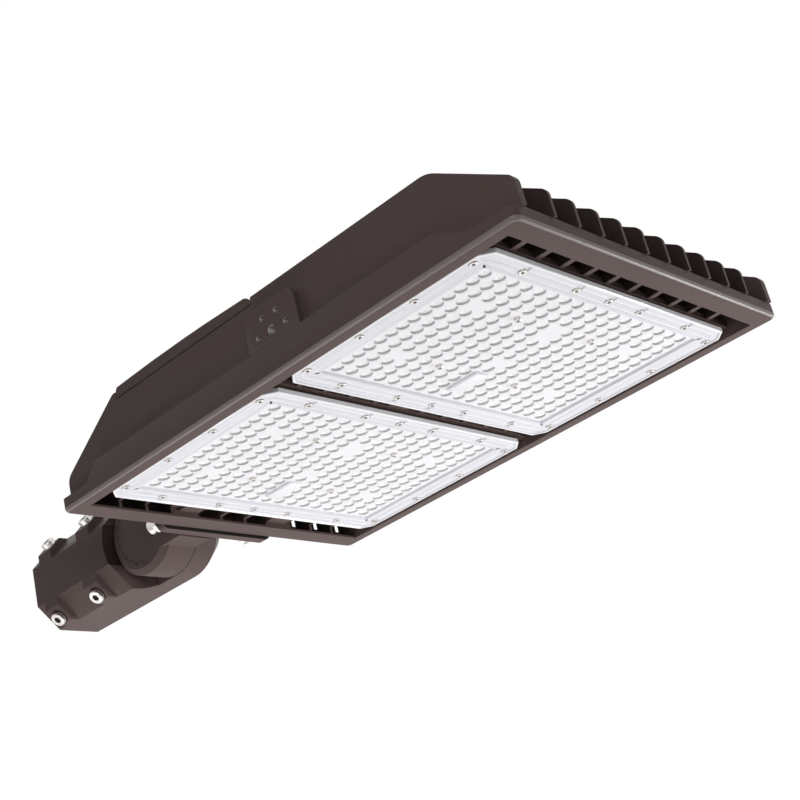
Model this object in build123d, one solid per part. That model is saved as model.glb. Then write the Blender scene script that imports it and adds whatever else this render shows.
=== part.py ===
from build123d import *
from math import cos, radians, sin, sqrt, tan
import os

# An outdoor LED floodlight for a pole. A finned housing carries two lens modules on its
# underside and a driver under a cover on its top. A knuckle tilts it on a slip-fitter arm.
#
# Millimetres, +Z up, +X towards the front. The origin is the centre of the arm's mouth,
# where the pole's tenon slides in. Y = 0 is the middle of the light.

os.makedirs("parts", exist_ok=True)

# The slip-fitter arm: an eight-sided socket with one ear for the knuckle
ARM_WIDTH = 84.0
ARM_HEIGHT = 78.0
ARM_CORNER = 21.0
ARM_END_X = 107.2
TENON_BORE_R = 30.6
TENON_BORE_LENGTH = 92.0
EAR_BLEND_R = 18.0
CLAMP_X = (20.0, 77.0)
CLAMP_BOSS_LENGTH = 18.0
CLAMP_BOSS_REACH = 48.5
CLAMP_SEAT = 45.6
CLAMP_TIP = 31.2

# The knuckle
PIVOT_X = 143.2
HUB_R = 38.8
HUB_DEPTH = 34.0
HUB_BEVEL = 5.0
HUB_SEAM = 0.3
HUB_RECESS_GAP = 1.7
PIVOT_BOLT_R = 6.0
PIVOT_RUNNING_FIT = 0.05
PIVOT_BOLT_REACH = 25.0
PIVOT_HEAD_R = 9.0
PIVOT_HEAD_HEIGHT = 12.0
PIVOT_WASHER_R = 12.0
PIVOT_WASHER_T = 2.5
PIVOT_SEAT_Y = 26.0
PIVOT_POCKET_R = 13.0
WIRE_POCKET_R0 = 14.0
WIRE_POCKET_R1 = 28.0
WIRE_POCKET_DEPTH = 20.0
WIRE_HOLE_R = 8.0
WIRE_Y = 11.0
WIRE_Z = 4.0
SEAL_R0 = 31.0
SEAL_R1 = 35.0
SEAL_GROOVE = 1.5
SEAL_PROUD = 0.2

# The flange that bolts the knuckle to the housing
NECK_HALF_Z = 24.9
FLANGE_X = 191.0
FLANGE_T = 12.0
FLANGE_HALF_Y = 59.0
FLANGE_TOP_Z = 28.0
FLANGE_BEVEL = 4.0
FLANGE_GASKET_T = 1.0
FLANGE_BOLT_Y = 50.5
FLANGE_BOLT_Z = (-14.0, 17.0)
FLANGE_BOLT_LENGTH = 34.0
FLANGE_WASHER_T = 4.0
FLANGE_WASHER_R = 7.5

# M8 socket cap bolts, used for the clamps and the flange
M8_R = 4.0
M8_HEAD_R = 6.5
M8_HEAD_HEIGHT = 8.0
M8_SOCKET = 6.0
BOLT_FIT = 0.1
BOLT_SIDES = 12
RING_SIDES = 24

# The housing's rim
RIM_X0 = 204.0
RIM_X1 = 670.6
RIM_HALF_Y = 159.6
RIM_Z = -23.4
OPENING_X0 = 223.9
OPENING_X1 = 653.3
OPENING_HALF_Y = 147.4
LEDGE_Z = -12.4
RIM_EDGE_R = 3.2
RIM_CORNER_R = 6.0

# The housing's walls and fins share one side outline
WALL_T = 6.0
BODY_REAR_X = 209.5
BODY_FRONT_X = 672.5
BODY_TOP_Z = 46.5
REAR_CORNER_Z = 4.5
FRONT_CORNER_Z = 7.9
SLOPE = 32.0
REAR_CORNER_R = 10.0
TOP_REAR_R = 8.0
TOP_FRONT_R = 25.0
FRONT_CORNER_R = 8.0
FIN_T = 3.0
FIN_PITCH = 26.2
FIN_COUNT = 10
BASE_Z = -15.8
BASE_T = 5.0
VENT_RIB = 5.0
FRONT_VENT = (635.0, OPENING_X1)
MIDDLE_VENT = (432.5, 443.5)
REAR_VENT_X = 239.0
NECK_BLOCK_DROP = 2.7
REAR_POCKET_X = 209.5
NECK_POCKET_X = 212.0
NECK_POCKET_TOP_Z = -9.0
RIM_FLOOR_T = 2.0
NECK_CHAMBER_X = 216.0
NECK_CHAMBER_HALF_Y = 38.0
NECK_CHAMBER_Z = (-6.0, 22.0)

# The raised skirt and the trunnion pad on each side wall
SKIRT_X = (237.0, 632.0)
SKIRT_RAMPS = (15.0, 23.0)
SKIRT_TOP_Z = 1.0
PAD_X = (432.0, 483.4)
PAD_TOP_Z = 32.0
PAD_REACH = 6.0
PAD_CORNER_R = 9.0
PAD_HOLE_X = 457.0
PAD_HOLE_Z = 9.4
PAD_HOLE_R = 4.0
PAD_SMALL_R = 2.5
PAD_CIRCLE_R = 14.0
PAD_HOLE_DEPTH = 9.0

# The driver bay and its cover
BAY_X0 = 283.0
BAY_X1 = 431.0
BAY_WALL = 4.0
COVER_X0 = 281.0
COVER_X1 = 437.0
COVER_SEAM_Z = 41.4
COVER_REAR_Z = 49.6
COVER_MIDDLE_Z = 50.8
COVER_FRONT_Z = 48.9
COVER_NOSE = 6.0
COVER_ROOF = 4.0
COVER_GAP = 0.6
COVER_GASKET_T = 1.0
COVER_GASKET_INSET = 0.8
COVER_POST_R = 7.0
COVER_SCREW_R = 2.5
COVER_SCREW_HEAD_R = 4.5
COVER_SCREW_LENGTH = 16.0

# The electrical pieces inside the bay
DRIVER_X = (340.0, 420.0)
DRIVER_HALF_Y = 120.0
DRIVER_HEIGHT = 40.0
DRIVER_FOOT = 14.0
DRIVER_FOOT_T = 3.0
DRIVER_BOSS = 3.0
DRIVER_SCREW_X = (354.0, 406.0)
DRIVER_SCREW_Y = 127.0
SURGE_BOX = (36.0, 70.0, 26.0)
SURGE_PLACE = (292.0, 50.0)
TERMINAL_BOX = (20.0, 52.0, 20.0)
TERMINAL_PLACE = (294.0, -92.0)
EARTH_PLACE = (312.0, 26.0)
EARTH_BOSS = 4.0
GROMMET_BORE_R = 4.5

# A lens module, seen from its own centre
MODULE_X = (335.7, 540.2)
MODULE_HALF_X = 95.0
MODULE_HALF_Y = 145.5
MODULE_CORNER = 9.0
LENS_FRAME_Z = -22.4
DOME_PLANE_Z = -19.5
LENS_T = 1.5
BOARD_T = 1.2
BOARD_HALF_X = 78.0
BOARD_HALF_Y = 126.0
BOARD_GAP = 0.5
DOME_FIELD = (76.0, 124.0)
DOME_ROWS = 14
DOME_COLUMNS = 17
ROW_PITCH = 10.65
COLUMN_PITCH = 14.6
DOME_R = 4.8
DOME_TOP_R = 2.8
DOME_SIDES = 4
DOME_HEIGHT = 3.0
SEAL_RING_GAP = 1.0
SEAL_RING_WIDTH = 3.0
SEAL_RING_T = 1.5
TRAY_Z = -22.4
TRAY_HALF = (16.0, 8.6)
TRAY_WALL = 1.2
CONNECTOR = (22.0, 13.0, 3.0)
LEAD_R = 2.0
LEAD_FIT = 0.3
LEAD_Y = -5.5
LEAD_BEND_R = 5.0
LEAD_Z = (6.0, -6.0)
DUCT_Y = -13.1
DUCT_WIDTH = 22.0
DUCT_TOP_Z = -1.0

# Lens screws
LENS_SCREW_R = 1.5
LENS_SCREW_HEAD_R = 2.8
LENS_SCREW_HEAD = 3.0
LENS_SCREW_SEAT = -20.0
LENS_SCREW_BITE = 3.2
LENS_SCREW_EDGE = 10.0
LENS_SCREW_SIDE_EDGE = 6.5
LENS_SCREW_Y = (-97.7, -38.3, 0.0, 38.3, 97.7)
LENS_SCREW_X = (-77.4, -25.7, 25.7, 77.4)
NOTCH_WIDTH = 7.0

# Places worked out from the sizes above
BASE_TOP_Z = BASE_Z + BASE_T
BOLT_CLEAR_R = M8_R + BOLT_FIT
FLANGE_BACK_X = FLANGE_X + FLANGE_T
NECK_BASE_Z = BASE_Z - NECK_BLOCK_DROP
FIN_Y = [(i - (FIN_COUNT - 1) / 2) * FIN_PITCH for i in range(FIN_COUNT)]
WALL_OUT_Y = OPENING_HALF_Y + WALL_T
POST_TOP_Z = COVER_SEAM_Z - COVER_GASKET_T
POST_Y = OPENING_HALF_Y - COVER_POST_R + 1.0
POST_X = (BAY_X0 + BAY_WALL + COVER_POST_R - 1.0, BAY_X1 - BAY_WALL - COVER_POST_R + 1.0)
TRAY_ROW = 11
TRAY_X = ROW_PITCH * ((DOME_ROWS - 1) / 2 - TRAY_ROW)
SCREW_ROWS = (3, 10)
SCREW_COLUMNS = (5, 11)
BLANK_COLUMNS = (2, 5, 8, 11, 14)


def box(x0, x1, y0, y1, z0, z1):
    """A block between two opposite corners."""
    return Pos((x0 + x1) / 2, (y0 + y1) / 2, (z0 + z1) / 2) * Box(x1 - x0, y1 - y0, z1 - z0)


def rod(x, y, z, direction, r, length):
    """A round bar that starts at a point and runs one way."""
    return extrude(Plane(origin=(x, y, z), z_dir=direction) * Circle(r), amount=length)


def prism(x, y, z, direction, r, length, sides=BOLT_SIDES):
    """A bar with flat sides; r is the distance from its axis to its corners."""
    face = Plane(origin=(x, y, z), z_dir=direction) * RegularPolygon(r, sides)
    return extrude(face, amount=length)


def outline(corners):
    """A closed outline through (x, z, radius) corners."""
    face = make_face(Polyline(*[(x, z) for x, z, r in corners], close=True))
    for x, z, r in corners:
        if r > 0:
            corner = face.vertices().sort_by_distance((x, z, 0))[0]
            face = fillet(corner, r)
    return face


def side_plate(face, y0, y1):
    """An outline drawn in X and Z, made solid between two Y planes."""
    return extrude(Plane(origin=(0, y1, 0), x_dir=(1, 0, 0), z_dir=(0, -1, 0)) * face, amount=y1 - y0)


def save(node, shape):
    """Write one node to its own file."""
    solids = shape.solids() if hasattr(shape, "solids") else [s for p in shape for s in p.solids()]
    export_step(Compound(children=solids) if len(solids) > 1 else solids[0], f"parts/{node}.step")
    print(node, len(solids), "solids", round(sum(s.volume for s in solids) / 1000, 1), "cm3")


# The slip-fitter arm

def clamp_direction(side):
    """The way that a clamp bolt points out, at 45 degrees below or above the -Y side."""
    return (0, -1 / sqrt(2), side / sqrt(2))


def clamp_places():
    """Each clamp bolt's X and its upper or lower side."""
    return [(x, side) for x in CLAMP_X for side in (-1, 1)]


def along_clamp(x, side, distance):
    """A point on a clamp bolt's axis at a distance from the bore's axis."""
    d = clamp_direction(side)
    return (x, d[1] * distance, d[2] * distance)


def octagon(width, height, corner):
    """The arm's cross-section."""
    w, h = width / 2, height / 2
    points = [(w, h - corner), (w - corner, h), (corner - w, h), (-w, h - corner)]
    points += [(-y, -z) for y, z in points]
    return make_face(Polyline(*points, close=True))


def ear():
    """The ear on the +Y side, with the arm's bevel carried round the pivot."""
    r, t = ARM_HEIGHT / 2, ARM_WIDTH / 2
    half = make_face(Polyline((0, 0), (r, 0), (r, t - ARM_CORNER), (r - ARM_CORNER, t), (0, t), close=True))
    return Pos(PIVOT_X, 0, 0) * revolve(Plane.XY * half, Axis.Y)


def ear_blend():
    """The hollow fillet between the arm's end and the ear's inner face."""
    block = box(ARM_END_X, ARM_END_X + EAR_BLEND_R, -EAR_BLEND_R, 0, -ARM_HEIGHT / 2, ARM_HEIGHT / 2)
    x, y = ARM_END_X + EAR_BLEND_R, -EAR_BLEND_R
    return block - rod(x, y, -ARM_HEIGHT, (0, 0, 1), EAR_BLEND_R, 2 * ARM_HEIGHT)


def clamp_boss(x, side):
    """A boss that fills the arm's bevel round one clamp bolt."""
    leg = ((ARM_WIDTH + ARM_HEIGHT) / 2 - CLAMP_BOSS_REACH * sqrt(2))
    w, h, corner = -ARM_WIDTH / 2, side * ARM_HEIGHT / 2, leg
    face = make_face(Polyline((0, 0), (w, 0), (w, h - side * corner), (w + corner, h), (0, h), close=True))
    return extrude(Plane(origin=(x - CLAMP_BOSS_LENGTH / 2, 0, 0), x_dir=(0, 1, 0), z_dir=(1, 0, 0)) * face,
                   amount=CLAMP_BOSS_LENGTH)


def slip_fitter():
    """The arm with its bore, bosses, ear and hub recess."""
    section = Plane(origin=(0, 0, 0), x_dir=(0, 1, 0), z_dir=(1, 0, 0)) * octagon(ARM_WIDTH, ARM_HEIGHT,
                                                                              ARM_CORNER)
    arm = extrude(section, amount=PIVOT_X)
    arm -= box(ARM_END_X, PIVOT_X + 1, -ARM_WIDTH, 0, -ARM_HEIGHT, ARM_HEIGHT)
    for x, side in clamp_places():
        arm += clamp_boss(x, side)
    arm += ear() + ear_blend()
    arm -= box(PIVOT_X - NECK_HALF_Z - 0.5, PIVOT_X, -ARM_WIDTH, 0, -ARM_HEIGHT, ARM_HEIGHT)
    arm -= rod(PIVOT_X, 0, 0, (0, -1, 0), HUB_R + HUB_RECESS_GAP, ARM_WIDTH)
    arm -= rod(0, 0, 0, (1, 0, 0), TENON_BORE_R, TENON_BORE_LENGTH)
    for x, side in clamp_places():
        d = clamp_direction(side)
        arm -= prism(*along_clamp(x, side, 0), d, BOLT_CLEAR_R, CLAMP_BOSS_REACH + 1)
        arm -= prism(*along_clamp(x, side, CLAMP_SEAT), d, M8_HEAD_R + 1, M8_HEAD_HEIGHT)
    arm -= rod(PIVOT_X, -1, 0, (0, 1, 0), PIVOT_BOLT_R + PIVOT_RUNNING_FIT, ARM_WIDTH)
    arm -= prism(PIVOT_X, PIVOT_SEAT_Y, 0, (0, 1, 0), PIVOT_POCKET_R, ARM_WIDTH, RING_SIDES)
    arm -= ring_pocket(0, 1)
    arm -= rod(TENON_BORE_LENGTH - 1, WIRE_Y, 0, (1, 0, 0), WIRE_HOLE_R, PIVOT_X - TENON_BORE_LENGTH - 20)
    return arm - seal_ring(SEAL_GROOVE, SEAL_PROUD + 1)


def ring_pocket(y, way):
    """The hollow round the pivot bolt that the wires bend through."""
    direction = (0, way, 0)
    outer = prism(PIVOT_X, y, 0, direction, WIRE_POCKET_R1, WIRE_POCKET_DEPTH, RING_SIDES)
    return outer - prism(PIVOT_X, y, 0, direction, WIRE_POCKET_R0, WIRE_POCKET_DEPTH, RING_SIDES)


def seal_ring(depth, proud):
    """A flat ring that lies in the ear's face."""
    outer = prism(PIVOT_X, -proud, 0, (0, 1, 0), SEAL_R1, depth + proud, RING_SIDES)
    return outer - prism(PIVOT_X, -proud, 0, (0, 1, 0), SEAL_R0, depth + proud, RING_SIDES)


def cap_bolt(x, y, z, direction, shank_r, length, head_r, head_height, socket, bar=prism):
    """A socket cap bolt: the point is its seat and the direction is where its head stands."""
    back = tuple(-c for c in direction)
    head = bar(x, y, z, direction, head_r, head_height)
    end = tuple(p + c * head_height for p, c in zip((x, y, z), direction))
    head -= prism(*end, back, socket / sqrt(3), head_height / 2, 6)
    return head + bar(x, y, z, back, shank_r, length)


def clamp_bolts():
    """Four bolts that grip the tenon from the -Y side."""
    return [cap_bolt(*along_clamp(x, side, CLAMP_SEAT), clamp_direction(side), M8_R, CLAMP_SEAT - CLAMP_TIP,
                     M8_HEAD_R, M8_HEAD_HEIGHT, M8_SOCKET) for x, side in clamp_places()]


def pivot_bolt():
    """The bolt that the hub turns on."""
    y = PIVOT_SEAT_Y + PIVOT_WASHER_T
    return cap_bolt(PIVOT_X, y, 0, (0, 1, 0), PIVOT_BOLT_R, y + PIVOT_BOLT_REACH,
                    PIVOT_HEAD_R, PIVOT_HEAD_HEIGHT, 10.0, rod)


def pivot_washer():
    """The washer under the pivot bolt's head."""
    disc = prism(PIVOT_X, PIVOT_SEAT_Y, 0, (0, 1, 0), PIVOT_WASHER_R, PIVOT_WASHER_T, RING_SIDES)
    return disc - rod(PIVOT_X, PIVOT_SEAT_Y - 1, 0, (0, 1, 0), PIVOT_BOLT_R + PIVOT_RUNNING_FIT, 10)


# The knuckle bracket

def flange_plate(x0, x1):
    """The flange's outline between two X planes."""
    return box(x0, x1, -FLANGE_HALF_Y, FLANGE_HALF_Y, -NECK_HALF_Z, FLANGE_TOP_Z)


def flange_holes(x0, x1, r):
    """One bar at each flange bolt."""
    return [prism(x0, y, z, (1, 0, 0), r, x1 - x0)
            for y in (-FLANGE_BOLT_Y, FLANGE_BOLT_Y) for z in FLANGE_BOLT_Z]


def wire_way(x0, x1, r):
    """The way for the wires from the knuckle into the housing."""
    return prism(x0, -WIRE_Y, WIRE_Z, (1, 0, 0), r, x1 - x0)


def hub():
    """The round hub with its bevelled outer face."""
    d = HUB_DEPTH
    half = make_face(Polyline((0, -HUB_SEAM), (HUB_R, -HUB_SEAM), (HUB_R, HUB_BEVEL - d),
                              (HUB_R - HUB_BEVEL, -d), (0, -d), close=True))
    return Pos(PIVOT_X, 0, 0) * revolve(Plane.XY * half, Axis.Y)


def knuckle_bracket():
    """The hub, its neck and the flange in one casting."""
    neck = box(PIVOT_X, FLANGE_X + 1, -HUB_DEPTH, -HUB_SEAM, -NECK_HALF_Z, NECK_HALF_Z)
    flange = flange_plate(FLANGE_X, FLANGE_BACK_X)
    flange = fillet(flange.edges().filter_by(Axis.X), 5)
    flange = chamfer(flange.faces().sort_by(Axis.X)[0].edges(), FLANGE_BEVEL)
    bracket = hub() + neck + flange
    bracket -= ring_pocket(-HUB_SEAM, -1)
    bracket -= rod(PIVOT_X, 1, 0, (0, -1, 0), PIVOT_BOLT_R + PIVOT_RUNNING_FIT, PIVOT_BOLT_REACH + 3)
    bracket -= wire_way(PIVOT_X + WIRE_POCKET_R0 + 4, FLANGE_BACK_X + 1, WIRE_HOLE_R)
    for hole in flange_holes(FLANGE_X - 1, FLANGE_BACK_X + 1, M8_R + 0.5):
        bracket -= hole
    return bracket


def flange_gasket():
    """The flat seal between the flange and the housing."""
    gasket = fillet(flange_plate(FLANGE_BACK_X, RIM_X0).edges().filter_by(Axis.X), 5)
    gasket -= wire_way(FLANGE_BACK_X - 1, RIM_X0 + 1, WIRE_HOLE_R + 1)
    for hole in flange_holes(FLANGE_BACK_X - 1, RIM_X0 + 1, M8_R + 0.5):
        gasket -= hole
    return gasket


def flange_bolts():
    """Four bolts through the flange into the housing."""
    seat = FLANGE_X - FLANGE_WASHER_T
    return [cap_bolt(seat, y, z, (-1, 0, 0), M8_R, FLANGE_BOLT_LENGTH, M8_HEAD_R, M8_HEAD_HEIGHT, M8_SOCKET)
            for y in (-FLANGE_BOLT_Y, FLANGE_BOLT_Y) for z in FLANGE_BOLT_Z]


def flange_washers():
    """The washer under each flange bolt's head."""
    discs = flange_holes(FLANGE_X - FLANGE_WASHER_T, FLANGE_X, FLANGE_WASHER_R)
    holes = flange_holes(FLANGE_X - FLANGE_WASHER_T - 1, FLANGE_X + 1, BOLT_CLEAR_R)
    return [disc - hole for disc, hole in zip(discs, holes)]


# The housing

def body_outline():
    """The side outline that the walls and the fins share."""
    rise = tan(radians(SLOPE))
    rear_x = BODY_REAR_X + (BODY_TOP_Z - REAR_CORNER_Z) / rise
    front_x = BODY_FRONT_X - (BODY_TOP_Z - FRONT_CORNER_Z) / rise
    return outline([(BODY_REAR_X, LEDGE_Z, 0), (BODY_REAR_X, REAR_CORNER_Z, REAR_CORNER_R),
                    (rear_x, BODY_TOP_Z, TOP_REAR_R), (front_x, BODY_TOP_Z, TOP_FRONT_R),
                    (BODY_FRONT_X, FRONT_CORNER_Z, FRONT_CORNER_R), (BODY_FRONT_X, LEDGE_Z, 0)])


def rim():
    """The frame round the underside, up to its ledge."""
    frame = box(RIM_X0, RIM_X1, -RIM_HALF_Y, RIM_HALF_Y, RIM_Z, LEDGE_Z)
    frame = fillet(frame.edges().filter_by(Axis.Z), RIM_CORNER_R)
    frame = fillet(frame.faces().sort_by(Axis.Z)[0].edges(), RIM_EDGE_R)
    return frame - box(OPENING_X0, OPENING_X1, -OPENING_HALF_Y, OPENING_HALF_Y, RIM_Z - 1, LEDGE_Z + 1)


def skirt():
    """The thicker lower part of a side wall, with a ramp at each end."""
    (x0, x1), (ramp0, ramp1) = SKIRT_X, SKIRT_RAMPS
    return outline([(x0, LEDGE_Z, 0), (x0 + ramp0, SKIRT_TOP_Z, 8), (x1 - ramp1, SKIRT_TOP_Z, 14),
                    (x1, LEDGE_Z, 0)])


def pad():
    """The raised pad for a trunnion bracket."""
    x0, x1 = PAD_X
    return outline([(x0, LEDGE_Z, 0), (x0, PAD_TOP_Z, PAD_CORNER_R), (x1, PAD_TOP_Z, PAD_CORNER_R),
                    (x1, LEDGE_Z, 0)])


def side_wall(side):
    """One side wall with its skirt and pad."""
    def between(face, inner, outer):
        return side_plate(face, min(side * inner, side * outer), max(side * inner, side * outer))
    wall = between(body_outline(), OPENING_HALF_Y, WALL_OUT_Y)
    wall += between(skirt(), OPENING_HALF_Y, RIM_HALF_Y)
    return wall + between(pad(), OPENING_HALF_Y, WALL_OUT_Y + PAD_REACH)


def pad_holes(side):
    """The pad's threaded hole and the four smaller ones over it."""
    y = side * (WALL_OUT_Y + PAD_REACH)
    inward = (0, -side, 0)
    holes = [rod(PAD_HOLE_X, y, PAD_HOLE_Z, inward, PAD_HOLE_R, PAD_HOLE_DEPTH)]
    for turn in (0, 60, 120, 180):
        spot = Vector(PAD_CIRCLE_R, 0, 0).rotate(Axis.Y, -turn)
        holes.append(rod(PAD_HOLE_X + spot.X, y, PAD_HOLE_Z + spot.Z, inward, PAD_SMALL_R, PAD_HOLE_DEPTH))
    return holes


def bays(rib=VENT_RIB):
    """The gaps between the ribs under the fins, as pairs of Y values."""
    edges = [-OPENING_HALF_Y] + [y + s * rib / 2 for y in FIN_Y for s in (-1, 1)] + [OPENING_HALF_Y]
    return list(zip(edges[0::2], edges[1::2]))


def vents():
    """The front and middle rows of slots through the base plate."""
    return [box(*across, y0, y1, BASE_Z - 1, BASE_TOP_Z + 1)
            for y0, y1 in bays() for across in (FRONT_VENT, MIDDLE_VENT)]


def rear_vents():
    """The rear row, which runs on over the rim as open channels between the fins."""
    return [box(REAR_POCKET_X, REAR_VENT_X, y0, y1, RIM_Z + RIM_FLOOR_T, BASE_TOP_Z)
            for y0, y1 in bays(FIN_T) if abs(y0 + y1) / 2 > FLANGE_HALF_Y]


def neck_block():
    """The rear block that the flange bolts to, with a lower part that closes the middle vents."""
    upper = box(RIM_X0, BAY_X0 + 1, -FLANGE_HALF_Y, FLANGE_HALF_Y, BASE_TOP_Z, FLANGE_TOP_Z)
    return upper + box(RIM_X0, REAR_VENT_X, -FLANGE_HALF_Y, FLANGE_HALF_Y, NECK_BASE_Z, BASE_TOP_Z)


def neck_cuts():
    """What is taken out of the neck block."""
    w = NECK_CHAMBER_HALF_Y
    cuts = [box(NECK_CHAMBER_X, BAY_X0 + BAY_WALL + 1, -w, w, *NECK_CHAMBER_Z)]
    cuts.append(wire_way(RIM_X0 - 1, NECK_CHAMBER_X + 1, WIRE_HOLE_R))
    cuts += flange_holes(RIM_X0 - 1, FLANGE_X - FLANGE_WASHER_T + FLANGE_BOLT_LENGTH + 1, BOLT_CLEAR_R)
    for y0, y1 in bays(FIN_T):
        if abs(y0 + y1) / 2 < NECK_CHAMBER_HALF_Y:
            cuts.append(box(NECK_POCKET_X, REAR_VENT_X, y0, y1, RIM_Z + RIM_FLOOR_T, NECK_POCKET_TOP_Z))
    return cuts + rear_vents()


def bay_walls():
    """The two cross walls and the four cover posts of the driver bay."""
    h = OPENING_HALF_Y
    walls = [box(x, x + BAY_WALL, -h, h, BASE_TOP_Z, POST_TOP_Z) for x in (BAY_X0, BAY_X1 - BAY_WALL)]
    return walls + [prism(x, y, BASE_TOP_Z, (0, 0, 1), COVER_POST_R, POST_TOP_Z - BASE_TOP_Z)
                    for x in POST_X for y in (-POST_Y, POST_Y)]


def bay_bosses():
    """The low bosses on the bay's floor."""
    bosses = [prism(x, y, BASE_TOP_Z, (0, 0, 1), 5, DRIVER_BOSS)
              for x in DRIVER_SCREW_X for y in (-DRIVER_SCREW_Y, DRIVER_SCREW_Y)]
    return bosses + [prism(*EARTH_PLACE, BASE_TOP_Z, (0, 0, 1), 6, EARTH_BOSS)]


def wire_duct():
    """The covered way from the bay to the front module."""
    y0, y1 = DUCT_Y - DUCT_WIDTH / 2, DUCT_Y + DUCT_WIDTH / 2
    return box(BAY_X1 - 1, connector_x(1) + 8, y0, y1, BASE_Z, DUCT_TOP_Z)


def heat_sink_housing():
    """The main casting: rim, base plate, walls, fins, driver bay and neck block."""
    base = box(OPENING_X0, OPENING_X1, -OPENING_HALF_Y, OPENING_HALF_Y, BASE_Z, BASE_TOP_Z)
    holes = screw_holes(BASE_Z - 1, BASE_Z + LENS_SCREW_BITE + 0.2, LENS_SCREW_R + BOLT_FIT / 2)
    fins = [side_plate(body_outline(), y - FIN_T / 2, y + FIN_T / 2) for y in FIN_Y]
    bay = box(BAY_X0 + 1, BAY_X1 - 1, -OPENING_HALF_Y, OPENING_HALF_Y, BASE_TOP_Z, BODY_TOP_Z + 9)
    housing = (base - vents() - holes) + rim()
    housing += [fin - bay for fin in fins] + [side_wall(side) for side in (-1, 1)]
    housing += [neck_block(), wire_duct()] + bay_walls() + bay_bosses()
    cover_room = box(COVER_X0 - COVER_GAP, COVER_X1 + COVER_GAP, -RIM_HALF_Y, RIM_HALF_Y, POST_TOP_Z,
                     BODY_TOP_Z + 9)
    cuts = [cover_room] + neck_cuts() + pad_holes(-1) + pad_holes(1) + driver_holes() + lead_ways()
    return housing - cuts - cover_holes(POST_TOP_Z - COVER_SCREW_LENGTH, POST_TOP_Z + 1)


# The driver cover

def cover_outline():
    """The cover's side outline, with its slightly domed top and rounded nose."""
    x0, x1, z = COVER_X0, COVER_X1, COVER_SEAM_Z
    top = ThreePointArc((x0 + 2, COVER_REAR_Z), ((x0 + x1) / 2, COVER_MIDDLE_Z), (x1 - COVER_NOSE, COVER_FRONT_Z))
    nose = ThreePointArc((x1 - COVER_NOSE, COVER_FRONT_Z), (x1 - 0.26 * COVER_NOSE, 0.63 * COVER_FRONT_Z + 0.37 * z),
                         (x1, z))
    rest = Polyline((x1, z), (x0, z), (x0, COVER_REAR_Z - 2), (x0 + 2, COVER_REAR_Z))
    return make_face([top, nose, rest])


def cover_holes(z0, z1, r=COVER_SCREW_R + BOLT_FIT):
    """One bar at each cover screw."""
    return [prism(x, y, z0, (0, 0, 1), r, z1 - z0) for x in POST_X for y in (-POST_Y, POST_Y)]


def driver_cover():
    """The cover over the driver bay."""
    cover = side_plate(cover_outline(), -WALL_OUT_Y, WALL_OUT_Y)
    inner_y = POST_Y - COVER_POST_R
    cover -= box(BAY_X0 + BAY_WALL, BAY_X1 - BAY_WALL, -inner_y, inner_y, COVER_SEAM_Z - 1,
                 COVER_FRONT_Z - COVER_ROOF)
    cover -= cover_holes(COVER_SEAM_Z - 1, COVER_MIDDLE_Z + 1, COVER_SCREW_R + 0.3)
    return cover - cover_holes(COVER_FRONT_Z - COVER_ROOF, COVER_MIDDLE_Z + 1, COVER_SCREW_HEAD_R + 0.5)


def cover_gasket():
    """The flat seal under the cover."""
    outer_y, inner_y = WALL_OUT_Y - COVER_GASKET_INSET, POST_Y - COVER_POST_R
    ring = box(BAY_X0 + COVER_GASKET_INSET, BAY_X1 - COVER_GASKET_INSET, -outer_y, outer_y,
               POST_TOP_Z, COVER_SEAM_Z)
    ring -= box(BAY_X0 + BAY_WALL, BAY_X1 - BAY_WALL, -inner_y, inner_y, POST_TOP_Z - 1, COVER_SEAM_Z + 1)
    return ring - cover_holes(POST_TOP_Z - 1, COVER_SEAM_Z + 1, COVER_SCREW_R + 0.3)


def cover_screws():
    """Four screws in the cover's corners."""
    seat = COVER_FRONT_Z - COVER_ROOF
    reach = seat - POST_TOP_Z + COVER_SCREW_LENGTH - 2
    return [cap_bolt(x, y, seat, (0, 0, 1), COVER_SCREW_R, reach, COVER_SCREW_HEAD_R, 3.0, 3.0)
            for x in POST_X for y in (-POST_Y, POST_Y)]


# The electrical pieces

def driver_holes():
    """The driver's and the earth screw's threaded holes in the bay's floor."""
    depth = BASE_T + DRIVER_BOSS - 1.5
    holes = [prism(x, y, BASE_TOP_Z + DRIVER_BOSS, (0, 0, -1), 2 + BOLT_FIT, depth)
             for x in DRIVER_SCREW_X for y in (-DRIVER_SCREW_Y, DRIVER_SCREW_Y)]
    return holes + [prism(*EARTH_PLACE, BASE_TOP_Z + EARTH_BOSS, (0, 0, -1), 2.5 + BOLT_FIT, EARTH_BOSS + 3)]


def led_driver():
    """The sealed LED driver, with a foot at each end."""
    z0 = BASE_TOP_Z + DRIVER_BOSS
    end = DRIVER_HALF_Y + DRIVER_FOOT
    case = box(*DRIVER_X, -DRIVER_HALF_Y, DRIVER_HALF_Y, z0, z0 + DRIVER_HEIGHT)
    case = fillet(case.edges().filter_by(Axis.Y), 3)
    case += box(DRIVER_X[0] + 5, DRIVER_X[1] - 5, -end, end, z0, z0 + DRIVER_FOOT_T)
    for x in DRIVER_SCREW_X:
        for y in (-DRIVER_SCREW_Y, DRIVER_SCREW_Y):
            case -= prism(x, y, z0 - 1, (0, 0, 1), 2.3, DRIVER_FOOT_T + 2)
    return case


def driver_screws():
    """Four screws through the driver's feet."""
    seat = BASE_TOP_Z + DRIVER_BOSS + DRIVER_FOOT_T
    return [cap_bolt(x, y, seat, (0, 0, 1), 2.0, DRIVER_FOOT_T + BASE_T + DRIVER_BOSS - 2.5, 3.5, 3.0, 3.0)
            for x in DRIVER_SCREW_X for y in (-DRIVER_SCREW_Y, DRIVER_SCREW_Y)]


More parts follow.
